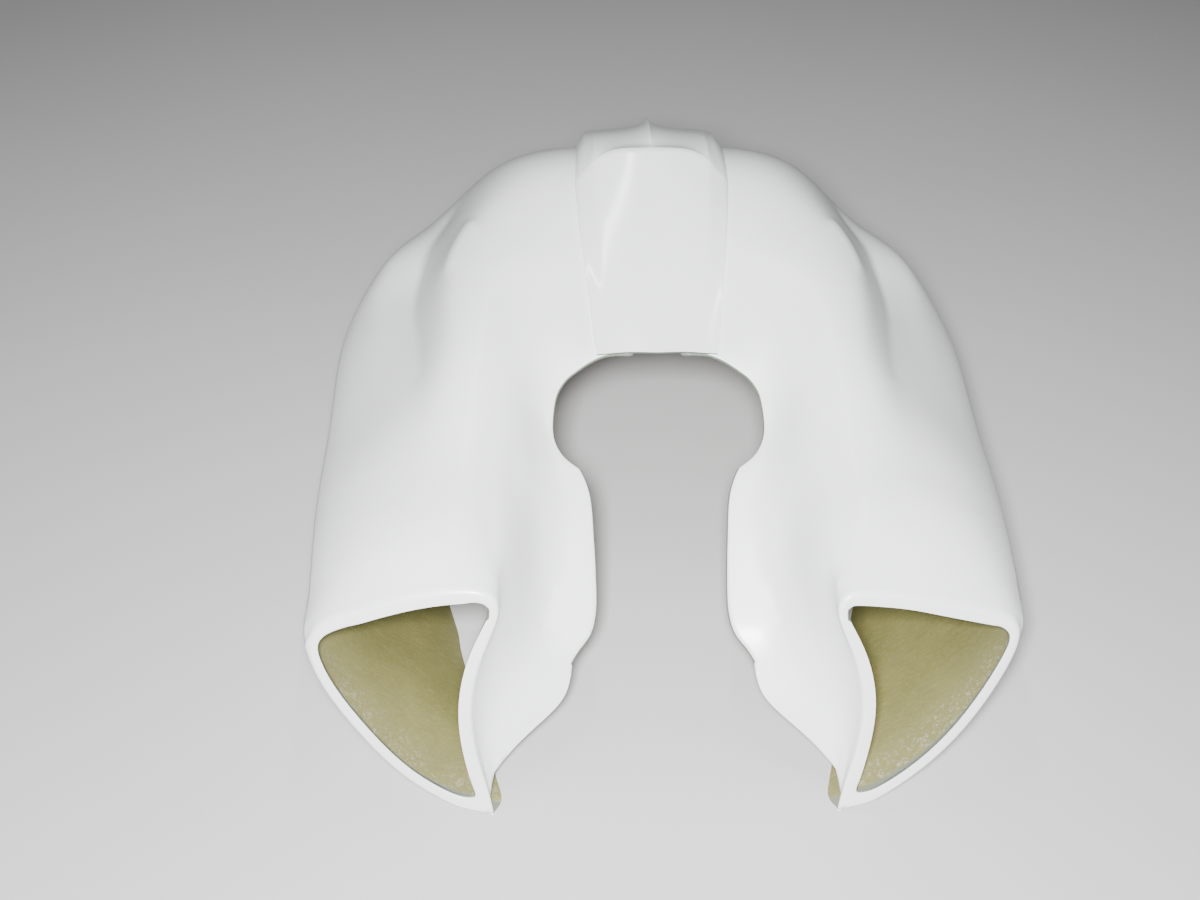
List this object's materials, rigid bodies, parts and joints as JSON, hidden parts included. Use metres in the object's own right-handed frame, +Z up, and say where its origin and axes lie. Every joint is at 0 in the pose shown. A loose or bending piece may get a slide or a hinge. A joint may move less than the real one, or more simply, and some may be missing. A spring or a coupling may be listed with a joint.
{
  "type": "motorcycle fairing",
  "caption": "Saddle-shaped motorcycle fairing in white laminate, open below, with a keyhole cut-out for the steering head and a forward-facing air scoop at the end of each leg.",
  "frame": {"origin": "centre of the bounding box in X and Y, on the plane that the sill edges stand on", "axes": "+X to the rider's right as seen from the front view's right hand, the scoops face -Y, the rear edge is at +Y, +Z up; symmetric about X = 0"},
  "size_m": [0.4922, 0.5974, 0.2904],
  "materials": {
    "white_gelcoat": "glossy white gelcoat on glass-fibre laminate, raw laminate inside"
  },
  "bodies": {
    "root": {"body_shell": "white_gelcoat", "centre_strip": "white_gelcoat"}
  },
  "joints": []
}
